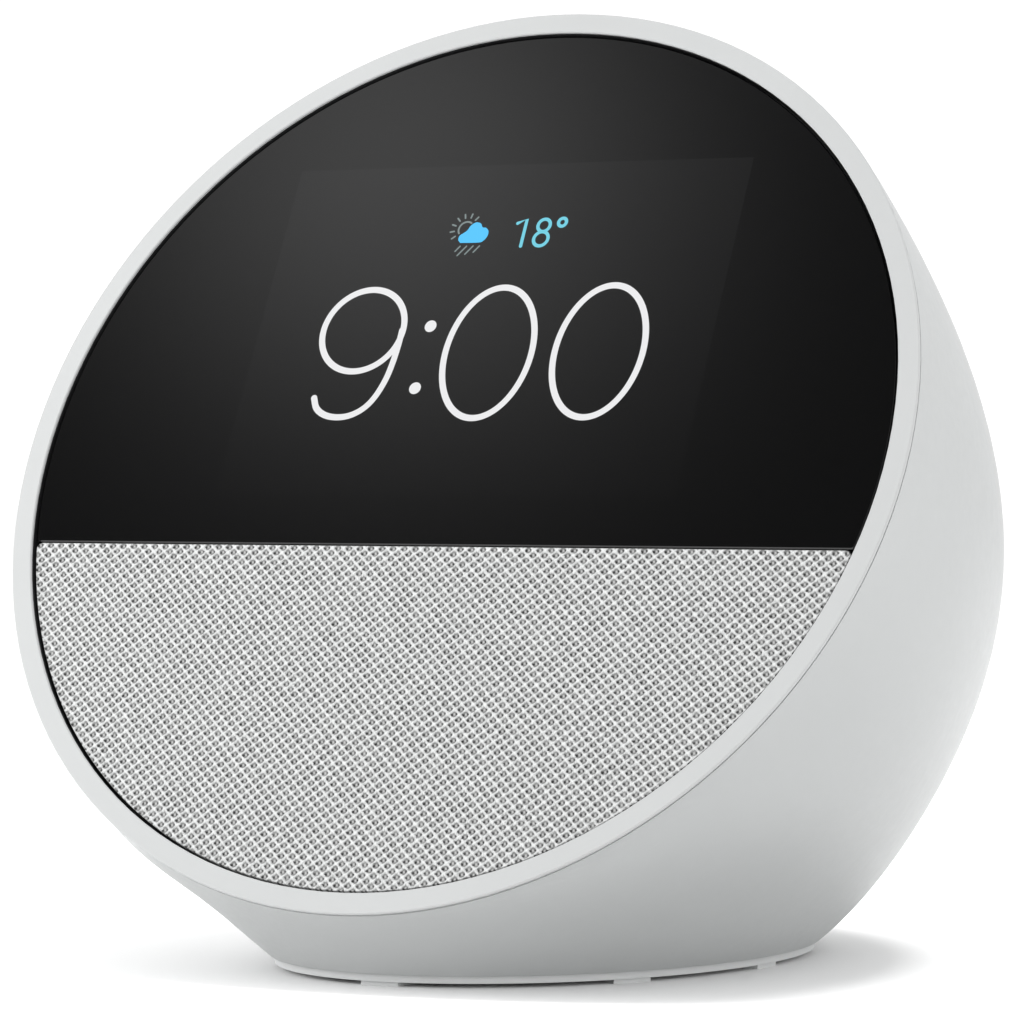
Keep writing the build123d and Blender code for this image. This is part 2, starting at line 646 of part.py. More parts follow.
WIRE_LEVEL = -14.0
SOCKET_LEVEL = -14.8
WIRE_OFFSET = 0.7
WIRE_RADIUS = 0.45


def grommet_hole(radius):
    """Hole up through the chamber's top wall for the speaker wires."""
    return Pos(0, SPEAKER_Y + CHAMBER_RADIUS - 1, WIRE_LEVEL) * Rot(90, 0, 0) * Cylinder(radius, 4.5)


def wire_grommet():
    """Rubber plug round the speaker wires."""
    middle = SPEAKER_Y + CHAMBER_RADIUS - CHAMBER_WALL / 2
    plug = Pos(0, middle, WIRE_LEVEL) * Rot(90, 0, 0) * Cylinder(1.55, 3.0)
    for x in (-WIRE_OFFSET, WIRE_OFFSET):
        plug -= Pos(x, middle, WIRE_LEVEL) * Rot(90, 0, 0) * Cylinder(WIRE_RADIUS + 0.02, 8)
    return FACE * plug


def lead(points, radius=WIRE_RADIUS):
    """Round lead along straight runs, joined by arcs as large as the runs allow."""
    places = [Vector(*point) for point in points]
    runs = [end - start for start, end in zip(places, places[1:])]
    arcs = []
    for before, after in zip(runs, runs[1:]):
        half_turn = math.radians(before.get_angle(after)) / 2
        arcs.append(0.45 * min(before.length, after.length) / math.tan(half_turn))
    route = FilletPolyline(*places, radius=arcs)
    profile = Plane(origin=route @ 0, z_dir=route % 0) * Circle(radius)
    return sweep(profile, path=route)


def speaker_wires():
    """Two leads from the driver's terminals, through the grommet, to the main board."""
    leads = []
    for x in (-WIRE_OFFSET, WIRE_OFFSET):
        rise = [(x, -15.4, -13.2), (x, -12.8, WIRE_LEVEL), (x, -4.1, WIRE_LEVEL)]
        leads.append(lead(rise + [(x, -1.2, SOCKET_LEVEL), (x, 4.0, SOCKET_LEVEL)]))
    return FACE * group(leads)


# ---------------------------------------------------------------- electronics
def main_board():
    """Main circuit board on four posts behind the display."""
    board = block(83, 38, BOARD_FRONT, BOARD_BACK, 0, 15) & disc(49, 0, BOARD_BACK - 1)
    for x, y in BOARD_POSTS:
        board -= disc(SCREW_HOLE, BOARD_FRONT + 1, BOARD_BACK - 1, x, y)
    return FACE * board


def main_board_screws():
    """Four screws that hold the main board."""
    return FACE * group(screw(1.9, 1.1, 6.2, BOARD_BACK, x, y, pointing=1) for x, y in BOARD_POSTS)


def processor_shield():
    """Thin metal can over the processor."""
    can = block(24, 24, BOARD_BACK, SHIELD_BACK, -8, 18)
    return FACE * (can - block(23.4, 23.4, BOARD_BACK + 1, SHIELD_BACK + 0.3, -8, 18))


def thermal_pad():
    """Soft pad between can and heat spreader."""
    return FACE * block(20, 20, SHIELD_BACK, PAD_BACK, -8, 18)


def heat_spreader():
    """Aluminium plate with low fins and two legs on the main board."""
    plate = block(56, 27, PAD_BACK, SPREADER_BACK, 0, 18)
    for i in range(9):
        plate += block(54, 0.9, SPREADER_BACK, SPREADER_BACK - 2.5, 0, 6 + 3 * i)
    for x in (-24, 24):
        plate += disc(2, BOARD_BACK, PAD_BACK, x, 18)
    return FACE * plate


def board_chips():
    """Memory, radio and power chips and coils on the main board."""
    places = (
        (14, 24, 10, 8, 1.2), (14, 12, 9, 9, 1.4), (-31, 18, 7, 7, 1.1), (30, 18, 6, 6, 2.0),
        (-8, 18, 14, 14, 1.0))
    return FACE * group(
        block(width, height, BOARD_BACK, BOARD_BACK - tall, x, y)
        for x, y, width, height, tall in places)


def board_connectors():
    """Sockets for the display ribbon, button ribbon, speaker and power leads."""
    front = block(12, 4, BOARD_FRONT + 1.1, BOARD_FRONT, 19, 3.6) - block(
        10.4, 3, BOARD_FRONT + 0.98, BOARD_FRONT + 0.62, 19, 2.0)
    sockets = [front]
    for x in (0, POWER_SOCKET_X):
        socket = block(5, 4, BOARD_BACK, BOARD_BACK - 2.6, x, 2.2)
        for side in (-WIRE_OFFSET, WIRE_OFFSET):
            socket -= Pos(x + side, 0, SOCKET_LEVEL) * Rot(90, 0, 0) * Cylinder(WIRE_RADIUS + 0.03, 20)
        sockets.append(socket)
    ribbon_socket = block(8, 3, BOARD_BACK, BOARD_BACK - 1.3, RIBBON_X, 31.9)
    ribbon_socket -= block(6.4, 3, RIBBON_LEVEL + 0.2, RIBBON_LEVEL - 0.2, RIBBON_X, 32.9)
    sockets.append(ribbon_socket)
    return FACE * group(sockets)


ANTENNA_X = -45.7


def antenna_board():
    """Small antenna board on the chassis rim."""
    return FACE * block(6.4, 24, PLATE_BACK, PLATE_BACK - 0.8, ANTENNA_X, -4)


def antenna_cable():
    """Thin coaxial lead from antenna to main board."""
    start = PLATE_BACK - 1.25
    return FACE * lead([
        (ANTENNA_X, -10, start), (-44.9, -6, start - 0.8), (-43.8, -1, -10.4), (-43.5, 5, -14.2),
        (-40.5, 10, -15.8), (-35.8, 13, -15.0), (-31.6, 13.7, -14.15)], 0.4)


POWER_SOCKET_X = 10.0
RIBBON_X = -18.0
RIBBON_LEVEL = -14.3
POWER_BOARD_LOW = 8.0
POWER_BOARD_TOP = 9.6
POWER_BOARD_SCREWS = ((-8.0, 26.5), (8.0, 26.5))
JACK_FACE_Y = INLET_FLOOR_Y - INLET_LENGTH


def power_board():
    """Small board that carries the power jack."""
    front, back = 23.0, 37.6
    board = block(22, back - front, POWER_BOARD_TOP, POWER_BOARD_LOW, 0, (back + front) / 2)
    for x, y in POWER_BOARD_SCREWS:
        board -= disc(SCREW_HOLE, POWER_BOARD_TOP + 1, POWER_BOARD_LOW - 1, x, y)
    return board


def power_board_screws():
    """Two screws that hold the power board on the base plate's posts."""
    return group(screw(1.9, 1.1, 5.5, POWER_BOARD_TOP, x, y) for x, y in POWER_BOARD_SCREWS)


def power_jack():
    """Round power jack in a square housing."""
    low = POWER_BOARD_TOP
    high = INLET_Z + 6
    housing = block(9.5, JACK_DEPTH, high, low, 0, JACK_FACE_Y - JACK_DEPTH / 2)
    bore = Pos(0, JACK_FACE_Y - 5, INLET_Z) * Rot(90, 0, 0) * Cylinder(JACK_BORE_RADIUS, 10.0)
    return housing - bore


def power_jack_pin():
    """Centre contact of the jack."""
    length = 9.0
    return Pos(0, JACK_FACE_Y - 10 + length / 2, INLET_Z) * Rot(90, 0, 0) * Cylinder(1.0, length)


def power_wires():
    """Two leads from the power board, behind the speaker chamber, up to the main board."""
    leads = []
    for side in (-WIRE_OFFSET, WIRE_OFFSET):
        low = [Vector(3 + side, 25.5, 10.15), Vector(3 + side, 20.5, 10.5)]
        climb = ((6, -20.5, -50), (9, -13, -36), (10, -5.6, -25), (10, -2.6, -17.6))
        high = [FACE.from_local_coords((x + side, y, z)) for x, y, z in climb]
        socket = [(POWER_SOCKET_X + side, y, SOCKET_LEVEL) for y in (-0.6, 4.0)]
        leads.append(lead(low + high + [FACE.from_local_coords(point) for point in socket]))
    return group(leads)


# ---------------------------------------------------------------- buttons
def button_flange_bottom(x):
    return -(WALL + 0.2 + sag(abs(x) + BUTTON_RADIUS + BUTTON_FLANGE) + 1.0)


def button_form(x):
    """Cap that follows the body's surface, stands a little proud, and is held by a flange."""
    bottom = button_flange_bottom(x)
    cap = (BUTTON_PLANE * disc(BUTTON_RADIUS, 5, bottom, x, 0)) & OUTER
    cap = Pos(0, *(BUTTON_PROUD * c for c in button_out)) * cap
    flange = BUTTON_PLANE * disc(BUTTON_RADIUS + BUTTON_FLANGE, 0, bottom, x, 0)
    flange = flange & body_solid(WALL + 0.2)
    stem = BUTTON_PLANE * disc(1.4, bottom + 0.5, STEM_END, x, 0)
    return cap + flange + stem


def engrave(button, icon):
    """Cut a shallow mark into a button's top."""
    lower = Pos(0, *(-ICON_DEPTH * c for c in button_out)) * button
    mark = (BUTTON_PLANE * prism(icon, 5, -4)) & button
    return button - (mark - lower)


def plus_icon():
    return Rectangle(3.6, 0.5) + Rectangle(0.5, 3.6)


def minus_icon():
    return Rectangle(3.6, 0.5)


def mute_icon():
    """Microphone outline with a stroke across it."""
    capsule = Pos(0, 0.5) * SlotOverall(2.4, 1.2, rotation=90)
    cradle = (Circle(1.7) - Circle(1.3)) & Pos(0, -1.2) * Rectangle(5, 2.4)
    stroke = Rot(0, 0, 45) * Rectangle(5.0, 0.4)
    return capsule + cradle + Pos(0, -1.9) * Rectangle(0.4, 0.8) + stroke


def plunger(x):
    """Switch plunger that the button's stem rests on."""
    return BUTTON_PLANE * disc(1.2, STEM_END, SWITCH_BOARD_TOP + 1.2, x, 0)


def button_switches():
    """Three tactile switch bodies on the button board."""
    housings = []
    for x in (-BUTTON_SPACING, 0, BUTTON_SPACING):
        housing = block(5.2, 5.2, SWITCH_TOP, SWITCH_BOARD_TOP, x, 0)
        housing -= disc(1.28, SWITCH_TOP + 1, SWITCH_BOARD_TOP + 0.5, x, 0)
        housings.append(housing)
    return BUTTON_PLANE * group(housings)


def button_board():
    """Narrow board under the buttons."""
    board = block(50, 11, SWITCH_BOARD_TOP, SWITCH_BOARD_BACK, 0, 0)
    for x in BUTTON_BOARD_SCREWS:
        board -= disc(SCREW_HOLE, SWITCH_BOARD_TOP + 1, SWITCH_BOARD_BACK - 1, x, 0)
    return BUTTON_PLANE * board


def button_board_screws():
    """Two screws that hold the button board."""
    return BUTTON_PLANE * group(
        screw(1.9, 1.1, 5.0, SWITCH_BOARD_BACK, x, 0, pointing=1) for x in BUTTON_BOARD_SCREWS)


MIC_PLACES = (-BUTTON_SPACING / 2, BUTTON_SPACING / 2)


def microphones():
    """Two microphones between the switches."""
    return BUTTON_PLANE * group(
        block(3.0, 3.8, SWITCH_BOARD_TOP + 1.0, SWITCH_BOARD_TOP, x, 0) for x in MIC_PLACES)


def microphone_boots():
    """Rubber tubes from the microphones up to the small holes in the shell."""
    boots = [tube(0.75, 0.4, 0, SWITCH_BOARD_TOP + 1.0, x, 0) for x in MIC_PLACES]
    return group(((BUTTON_PLANE * boot) & body_solid(WALL + 0.05)) for boot in boots)


def button_ribbon():
    """Flat ribbon from the button board down to the main board."""
    end = FACE.to_local_coords(BUTTON_PLANE.from_local_coords((0, -4.0, SWITCH_BOARD_BACK - 0.2)))
    route = FilletPolyline(
        (32.4, RIBBON_LEVEL), (36.6, RIBBON_LEVEL), (37.6, end.Z), (end.Y, end.Z), radius=1.2)
    ribbon = extrude(Plane.YZ * trace(route, 0.2), amount=6)
    return FACE * (Pos(RIBBON_X - 3, 0, 0) * ribbon)


CASING = (rear_shell, front_ring, front_chassis, chassis_screws, base_plate, base_screws, foot_ring)
DISPLAY = (
    display_window, window_adhesive, touch_panel, display_panel, display_cushion, display_bracket,
    display_bracket_screws, display_flex)
SPEAKER = (
    speaker_fabric, speaker_grille, speaker_gasket, speaker_frame, speaker_screws, speaker_surround,
    speaker_cone, dust_cap, voice_coil, spider, speaker_top_plate, speaker_magnet, speaker_yoke,
    acoustic_chamber, chamber_screws, wire_grommet, speaker_wires)
ELECTRONICS = (
    main_board, main_board_screws, processor_shield, thermal_pad, heat_spreader, board_chips,
    board_connectors, antenna_board, antenna_cable, power_board, power_board_screws, power_jack,
    power_jack_pin, power_wires)
BUTTON_PARTS = (
    button_switches, button_board, button_board_screws, button_ribbon, microphones, microphone_boots)
BUTTONS = {
    "volume_down": (-BUTTON_SPACING, minus_icon),
    "volume_up": (0.0, plus_icon),
    "microphone_off": (BUTTON_SPACING, mute_icon),
}

os.makedirs("parts", exist_ok=True)
for make in CASING + DISPLAY + SPEAKER + ELECTRONICS + BUTTON_PARTS:
    export_step(make(), f"parts/{make.__name__}.step")
for name, (place, icon) in BUTTONS.items():
    button = engrave(button_form(place), Pos(place, 0) * icon())
    export_step(button, f"parts/{name}_button.step")
    export_step(plunger(place), f"parts/{name}_plunger.step")
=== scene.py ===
"""Looks of a tabletop smart display: camera, studio, materials, knitted cover and lit picture.

Everything is in metres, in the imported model's frame.  Flat shapes on the face are drawn in the
face's own millimetres: u to the right, v up the face, both from the middle of the front ring.
"""

import json
import math

import bpy
import numpy as np
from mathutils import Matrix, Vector
from mathutils.geometry import delaunay_2d_cdt, tessellate_polygon


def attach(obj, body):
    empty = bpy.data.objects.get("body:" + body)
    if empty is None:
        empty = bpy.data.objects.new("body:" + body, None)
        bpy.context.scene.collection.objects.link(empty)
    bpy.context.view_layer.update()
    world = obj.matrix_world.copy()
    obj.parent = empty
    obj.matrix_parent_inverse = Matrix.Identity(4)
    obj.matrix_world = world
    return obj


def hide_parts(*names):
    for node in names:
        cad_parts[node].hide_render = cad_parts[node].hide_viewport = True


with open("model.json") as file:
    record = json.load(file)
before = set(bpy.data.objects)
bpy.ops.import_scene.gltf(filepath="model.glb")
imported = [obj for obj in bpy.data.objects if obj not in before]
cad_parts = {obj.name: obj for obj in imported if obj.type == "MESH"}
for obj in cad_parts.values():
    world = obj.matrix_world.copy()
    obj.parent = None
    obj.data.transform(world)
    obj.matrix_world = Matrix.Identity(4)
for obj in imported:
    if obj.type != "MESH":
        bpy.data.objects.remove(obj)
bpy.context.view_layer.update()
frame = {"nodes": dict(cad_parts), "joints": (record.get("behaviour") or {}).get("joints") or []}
NODES = frame["nodes"]
MM = 0.001

# ---------------------------------------------------------------- camera and studio
AIM = Vector((0.00071, -0.01325, 0.05163))
CAMERA_AZIMUTH = 28.931
CAMERA_ELEVATION = 0.604
CAMERA_DISTANCE = 0.59088
LENS = 181.84
SENSOR = 36.0

WORLD_LIGHT = 1.12
FLOOR_SIZE = 8.0
FLOOR_TONE = 0.91           # brightness of the table top that the camera sees
BOUNCE_TONE = 0.80          # brightness of the one that throws light back up
FLOOR_GAP = 0.0002          # how far the second table top lies below the first
LIGHTS = (                  # name, azimuth, elevation, distance, size, power
    ("key_left", -60, 22, 0.38, 0.3, 0.8),
    ("fill_right", 72, -2, 0.6, 0.4, 0.55),
    ("floor_wash", 110, 80, 1.6, 0.6, 24.0),
)
GLARE_MIDDLE = (-18.0, 39.5)        # where the softbox shows in the window, in face millimetres
GLARE_DISTANCE = 0.6
GLARE_SIZE = 0.5
GLARE_SPREAD = 0.045
GLARE_PEAK = 1.03
GLARE_FLOOR = 0.06          # strength that is left at the softbox's edges

# ---------------------------------------------------------------- shared by all materials
NOISE_ROUGHNESS = 0.55
METAL_GRAIN = 4000.0

# ---------------------------------------------------------------- knitted cover, in millimetres
KNIT_PITCH = 1.435          # one cell across
KNIT_ROW = 0.623            # one row up; odd rows are moved by half a cell
KNIT_STEPS = 5              # mesh points along each side of a cell
KNIT_REACH = 2.2            # half width of the knit's slanting grid, in radii of the cover
KNIT_DEPTH = 0.26
CELL_WIDE = 0.77            # size of the hollow in a cell, as a share of the cell
CELL_TALL = 0.79
CELL_POWER = 1.4            # 1 is a diamond and 2 an ellipse
EDGE_STEP = 0.22            # distance between mesh points along the cover's edge
EDGE_ROLL = 0.16            # radius over which the cover turns down at its edge
EDGE_MARGIN = 0.08          # distance kept free between the rolled edge and the knit's own points
ROLL_ROWS = ((0.38, 22.5), (0.71, 45.0), (1.0, 90.0))  # share of that radius, and angle turned
HEM_START = 0.3             # height above the cover's back at which its edge turns in
HEM_FOLD = 0.25             # how far it turns in
CORNER_RADIUS = 0.7
CORNER_STEPS = 12
WELL_FLOOR = 0.35           # share of the hollow that is flat
WELL_SLOPE = 0.55           # share of it over which it rises again
# The rest is measured in cells: 0 is the middle of a cell and 1 its corner.
THREAD_WIDTH = 0.24         # thread that crosses each hollow
THREAD_LENGTH = 0.6
THREAD_LEAN = 0.18
THREAD_RISE = 0.75          # how much of the hollow's depth the thread takes up
THREAD_TONE_AND_HIGHLIGHT = ((0.02, 0.0), 0.04, 0.32)     # middle, inner and outer radius of the pale thread, whose own paler tone carries a painted highlight too
LEFT_PAINTED_SHADE = ((-0.36, -0.14), 0.15, 0.40)     # the same for the painted shade, dark spots beside the thread
RIGHT_PAINTED_SHADE = ((0.43, 0.12), 0.12, 0.28)

# ---------------------------------------------------------------- lit picture, in millimetres
PICTURE_LIFT = 0.02         # how far the picture stands off the glass
ACTIVE_MIDDLE = 15.4
ACTIVE_SIZE = (59.2, 42.6)
CLOCK_STROKE = 0.78
CAPTION_STROKE = 0.42
SUN_STROKE = 0.22
RAY_STROKE = 0.2
RAIN_STROKE = 0.18
CAP_STEPS = 8               # edges round the end of a stroke


def joint(name):
    """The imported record's entry for a joint."""
    return next(entry for entry in frame["joints"] if entry["name"] == name)


def span(node, direction):
    """Lowest and highest distance of a CAD node's points along a direction."""
    along = [vertex.co.dot(direction) for vertex in NODES[node].data.vertices]
    return min(along), max(along)


def middle(limits):
    """Halfway between two limits."""
    return (limits[0] + limits[1]) / 2


OUT = Vector(joint("cone_travel")["axis"]).normalized()
RIGHT = Vector((1, 0, 0))
UP = OUT.cross(RIGHT)
FACE_CENTRE = (
    RIGHT * middle(span("front_ring", RIGHT))
    + UP * middle(span("front_ring", UP))
    + OUT * span("front_ring", OUT)[1]
)


def level_of(node):
    """Front level of a CAD node on the face, in millimetres; the ring's front is 0."""
    return (span(node, OUT)[1] - FACE_CENTRE.dot(OUT)) / MM


def on_face(points, level):
    """Millimetre points (u, v) on the face as an array of places in the model's frame."""
    flat = np.asarray(points, float)
    heights = np.broadcast_to(np.asarray(level, float), (len(flat),))
    return (
        np.array(FACE_CENTRE)
        + MM * flat[:, :1] * np.array(RIGHT)
        + MM * flat[:, 1:2] * np.array(UP)
        + MM * heights[:, None] * np.array(OUT)
    )


def add_piece(name, verts, faces, material, body, smooth=True):
    """New mesh object that rides on a CAD body."""
    mesh = bpy.data.meshes.new(name)
    mesh.from_pydata([tuple(v) for v in verts], [], [tuple(f) for f in faces])
    mesh.materials.append(material)
    mesh.polygons.foreach_set("use_smooth", [smooth] * len(mesh.polygons))
    mesh.update()
    piece = bpy.data.objects.new(name, mesh)
    bpy.context.scene.collection.objects.link(piece)
    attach(piece, body)
    return piece


# ---------------------------------------------------------------- material helpers
class Look:
    """A node material under construction, with short ways to add nodes."""

    def __init__(self, name):
        self.material = bpy.data.materials.new(name)
        self.material.use_nodes = True
        self.tree = self.material.node_tree
        self.shader = self.tree.nodes["Principled BSDF"]
        place = self.tree.nodes.new("ShaderNodeTexCoord")
        self.place = place.outputs["Object"]

    def link(self, source, target):
        self.tree.links.new(source, target)

    def set(self, **values):
        """Even values on the shader's own sockets, such as Roughness=0.4."""
        for socket, value in values.items():
            self.shader.inputs[socket.replace("_", " ")].default_value = value

    def noise(self, scale, detail=3.0, stretch=None):
        """Soft random pattern, around 0.5, of so many waves to the metre."""
        node = self.tree.nodes.new("ShaderNodeTexNoise")
        node.inputs["Scale"].default_value = scale
        node.inputs["Detail"].default_value = detail
        node.inputs["Roughness"].default_value = NOISE_ROUGHNESS
        source = self.place
        if stretch:
            mapping = self.tree.nodes.new("ShaderNodeMapping")
            mapping.inputs["Scale"].default_value = stretch
            self.link(self.place, mapping.inputs["Vector"])
            source = mapping.outputs["Vector"]
        self.link(source, node.inputs["Vector"])
        return node.outputs["Fac"]

    def spread(self, source, low, high, start=0.3, end=0.7):
        """Maps a pattern's values from start to end onto the range low to high."""
        node = self.tree.nodes.new("ShaderNodeMapRange")
        self.link(source, node.inputs["Value"])
        node.inputs["From Min"].default_value = start
        node.inputs["From Max"].default_value = end
        node.inputs["To Min"].default_value = low
        node.inputs["To Max"].default_value = high
        return node.outputs["Result"]

    def blend(self, factor, first, second):
        """Mixes two colours, each of them even or itself a pattern, by a pattern."""
        node = self.tree.nodes.new("ShaderNodeMix")
        node.data_type = "RGBA"
        self.link(factor, node.inputs["Factor"])
        for socket, value in (("A", first), ("B", second)):
            target = next(i for i in node.inputs if i.name == socket and i.type == "RGBA")
            if isinstance(value, tuple):
                target.default_value = (*value, 1.0)
            else:
                self.link(value, target)
        return next(o for o in node.outputs if o.type == "RGBA")

    def math(self, operation, *values):
        """One sum on even numbers or patterns."""
        node = self.tree.nodes.new("ShaderNodeMath")
        node.operation = operation
        for socket, value in zip(node.inputs, values):
            if isinstance(value, (int, float)):
                socket.default_value = value
            else:
                self.link(value, socket)
        return node.outputs[0]

    def along(self, direction, start):
        """Distance of the shaded point from start along a direction."""
        offset = self.tree.nodes.new("ShaderNodeVectorMath")
        offset.operation = "SUBTRACT"
        self.link(self.place, offset.inputs[0])
        offset.inputs[1].default_value = start
        dot = self.tree.nodes.new("ShaderNodeVectorMath")
        dot.operation = "DOT_PRODUCT"
        self.link(offset.outputs["Vector"], dot.inputs[0])
        dot.inputs[1].default_value = direction
        return dot.outputs["Value"]

    def spot(self, across, upward, centre, inner, outer):
        """Soft round spot: 1 within the inner radius, 0 beyond the outer one."""
        parts = []
        for value, place in zip((across, upward), centre):
            offset = self.math("ABSOLUTE", self.math("SUBTRACT", value, place))
            parts.append(self.math("POWER", offset, 2.0))
        distance = self.math("SQRT", self.math("ADD", *parts))
        return self.spread(distance, 1.0, 0.0, inner, outer)

    def bump(self, source, depth):
        """Relief of a depth in metres from a pattern."""
        node = self.tree.nodes.new("ShaderNodeBump")
        node.inputs["Distance"].default_value = depth
        node.inputs["Strength"].default_value = 1.0
        self.link(source, node.inputs["Height"])
        self.link(node.outputs["Normal"], self.shader.inputs["Normal"])


def shade(colour, factor):
    """The colour, made darker or lighter by a factor."""
    return tuple(min(1.0, c * factor) for c in colour)


def moulded(name, colour, roughness, grain=9000.0, depth=0.000012, mottle=0.03):
    """Moulded plastic or rubber: fine eroded grain, slight unevenness of tone and gloss."""
    look = Look(name)
    tone = look.noise(60.0, detail=4.0)
    look.link(
        look.blend(tone, shade(colour, 1 - mottle), shade(colour, 1 + mottle)),
        look.shader.inputs["Base Color"],
    )
    gloss = look.spread(look.noise(900.0), roughness - 0.04, roughness + 0.04)
    look.link(gloss, look.shader.inputs["Roughness"])
    look.bump(look.noise(grain, detail=2.0), depth)
    return look.material


def metal(name, colour, roughness, stretch=(1.0, 1.0, 1.0)):
    """Sheet, plated or turned metal with fine working marks."""
    look = Look(name)
    marks = look.noise(METAL_GRAIN, detail=4.0, stretch=stretch)
    tone = look.blend(marks, shade(colour, 0.85), shade(colour, 1.08))
    look.link(tone, look.shader.inputs["Base Color"])
    look.set(Metallic=1.0)
    gloss = look.spread(marks, roughness - 0.08, roughness + 0.1)
    look.link(gloss, look.shader.inputs["Roughness"])
    look.bump(marks, 0.000008)
    return look.material


def woven(name, colour, dark, pitch):
    """Fine paper, foam or impregnated cloth with visible fibres or cells."""
    look = Look(name)
    cells = look.tree.nodes.new("ShaderNodeTexVoronoi")
    cells.inputs["Scale"].default_value = 1.0 / pitch
    look.link(look.place, cells.inputs["Vector"])
    pattern = look.spread(cells.outputs["Distance"], 0.0, 1.0, 0.1, 0.7)
    look.link(look.blend(pattern, colour, dark), look.shader.inputs["Base Color"])
    look.link(look.spread(look.noise(3000.0), 0.75, 0.95), look.shader.inputs["Roughness"])
    look.bump(cells.outputs["Distance"], 0.00005)
    return look.material


def circuit(name):
    """Green solder mask with copper tracks showing faintly through it."""
    look = Look(name)
    tracks = look.tree.nodes.new("ShaderNodeTexBrick")
    tracks.inputs["Scale"].default_value = 260.0
    tracks.inputs["Mortar Size"].default_value = 0.03
    look.link(look.place, tracks.inputs["Vector"])
    tracks.inputs["Color1"].default_value = (0.010, 0.11, 0.045, 1)
    tracks.inputs["Color2"].default_value = (0.014, 0.15, 0.06, 1)
    tracks.inputs["Mortar"].default_value = (0.05, 0.26, 0.12, 1)
    look.link(tracks.outputs["Color"], look.shader.inputs["Base Color"])
    look.link(look.spread(look.noise(700.0), 0.28, 0.42), look.shader.inputs["Roughness"])
    look.bump(tracks.outputs["Fac"], 0.00002)
    return look.material


def black_glass(name):
    """Window: black behind clear glass, with the switched-on display's backlight painted into its
    colour as a trace lighter patch.
    """
    look = Look(name)
    start = on_face([(0.0, ACTIVE_MIDDLE)], 0.0)[0]
    half_width, half_height = (size / 2 * MM for size in ACTIVE_SIZE)
    across = look.math("ABSOLUTE", look.along(RIGHT, start))
    upward = look.math("ABSOLUTE", look.along(UP, start))
    inside = look.math(
        "MULTIPLY",
        look.math("LESS_THAN", across, half_width),
        look.math("LESS_THAN", upward, half_height),
    )
    # Painted backlight: the patch is painted lighter towards its top.
    fade = look.spread(look.along(UP, start), 0.15, 1.0, -half_height, half_height)
    painted_backlight = look.math("MULTIPLY", inside, fade)
    smears = look.noise(45.0, detail=5.0)
    tone = look.blend(painted_backlight, (0.0004, 0.0004, 0.0005), (0.0042, 0.0042, 0.0044))
    look.link(tone, look.shader.inputs["Base Color"])
    look.link(look.spread(smears, 0.03, 0.055), look.shader.inputs["Roughness"])
    look.set(IOR=1.5, Specular_IOR_Level=0.5)
    return look.material


def lit(name, colour, strength):
    """Light from the display, faintly uneven like its pixels."""
    look = Look(name)
    pixels = look.spread(look.noise(9000.0, detail=1.0), 0.95, 1.05)
    tone = look.blend(pixels, shade(colour, 0.97), colour)
    glass = look.blend(pixels, (0.004, 0.004, 0.004), (0.006, 0.006, 0.006))
    look.link(tone, look.shader.inputs["Emission Color"])
    look.link(glass, look.shader.inputs["Base Color"])
    look.set(Roughness=0.05, Emission_Strength=strength)
    return look.material


def knit(name):
    """White ribs over grey yarn that lies deeper, with painted shade in dark spots beside a pale
    thread that also carries a painted highlight, and painted highlights where the ribs cross.
    """
    look = Look(name)
    start = Vector(FACE_CENTRE)
    u = look.math("DIVIDE", look.along(RIGHT, start), KNIT_PITCH * MM)
    v = look.math("DIVIDE", look.along(UP, start), 2 * KNIT_ROW * MM)
    first = look.math("ADD", u, v)
    second = look.math("SUBTRACT", u, v)
    first_cell = look.math("ROUND", first)
    second_cell = look.math("ROUND", second)
    first = look.math("SUBTRACT", first, first_cell)
    second = look.math("SUBTRACT", second, second_cell)
    across = look.math("ADD", first, second)
    upward = look.math("SUBTRACT", first, second)
    reaches = []
    for value, size in ((across, CELL_WIDE), (upward, CELL_TALL)):
        share = look.math("DIVIDE", look.math("ABSOLUTE", value), size)
        reaches.append(look.math("POWER", share, CELL_POWER))
    wobble = look.spread(look.noise(2600.0, detail=2.0), -0.20, 0.20)
    ring = look.math("ADD", look.math("ADD", *reaches), wobble)
    cell = look.tree.nodes.new("ShaderNodeCombineXYZ")
    look.link(first_cell, cell.inputs["X"])
    look.link(second_cell, cell.inputs["Y"])
    chance = look.tree.nodes.new("ShaderNodeTexWhiteNoise")
    look.link(cell.outputs["Vector"], chance.inputs["Vector"])
    random = chance.outputs["Value"]
    well = look.spread(ring, 1.0, 0.0, 0.60, 0.84)
    yarn = look.blend(random, (0.21, 0.212, 0.21), (0.29, 0.293, 0.29))
    # Pale thread: its own paler tone together with a painted highlight.
    thread = look.spot(across, upward, *THREAD_TONE_AND_HIGHLIGHT)
    yarn = look.blend(thread, yarn, (0.56, 0.56, 0.555))
    # Painted shade: near-black spots beside the thread, where the hollow lies in shade.
    painted_shade = look.blend(random, (0.004, 0.004, 0.004), (0.07, 0.07, 0.07))
    painted_shade_spots = [look.spot(across, upward, *place) for place in (LEFT_PAINTED_SHADE, RIGHT_PAINTED_SHADE)]
    inner = look.blend(look.math("MAXIMUM", *painted_shade_spots), yarn, painted_shade)
    fibre = look.spread(look.noise(6000.0, stretch=(1.0, 0.45, 0.45)), 0.0, 1.0, 0.36, 0.64)
    rib = look.blend(fibre, (0.46, 0.467, 0.465), (0.71, 0.717, 0.715))
    # Painted highlight: the ribs are painted lighter towards their crossings.
    rib = look.blend(look.spread(ring, 0.0, 1.0, 0.9, 1.5), rib, (0.79, 0.80, 0.798))
    look.link(look.blend(well, rib, inner), look.shader.inputs["Base Color"])
    look.link(look.spread(fibre, 0.7, 0.95), look.shader.inputs["Roughness"])
    look.set(Sheen_Weight=0.15, Sheen_Roughness=0.5)
    look.bump(fibre, 0.00004)
    return look.material


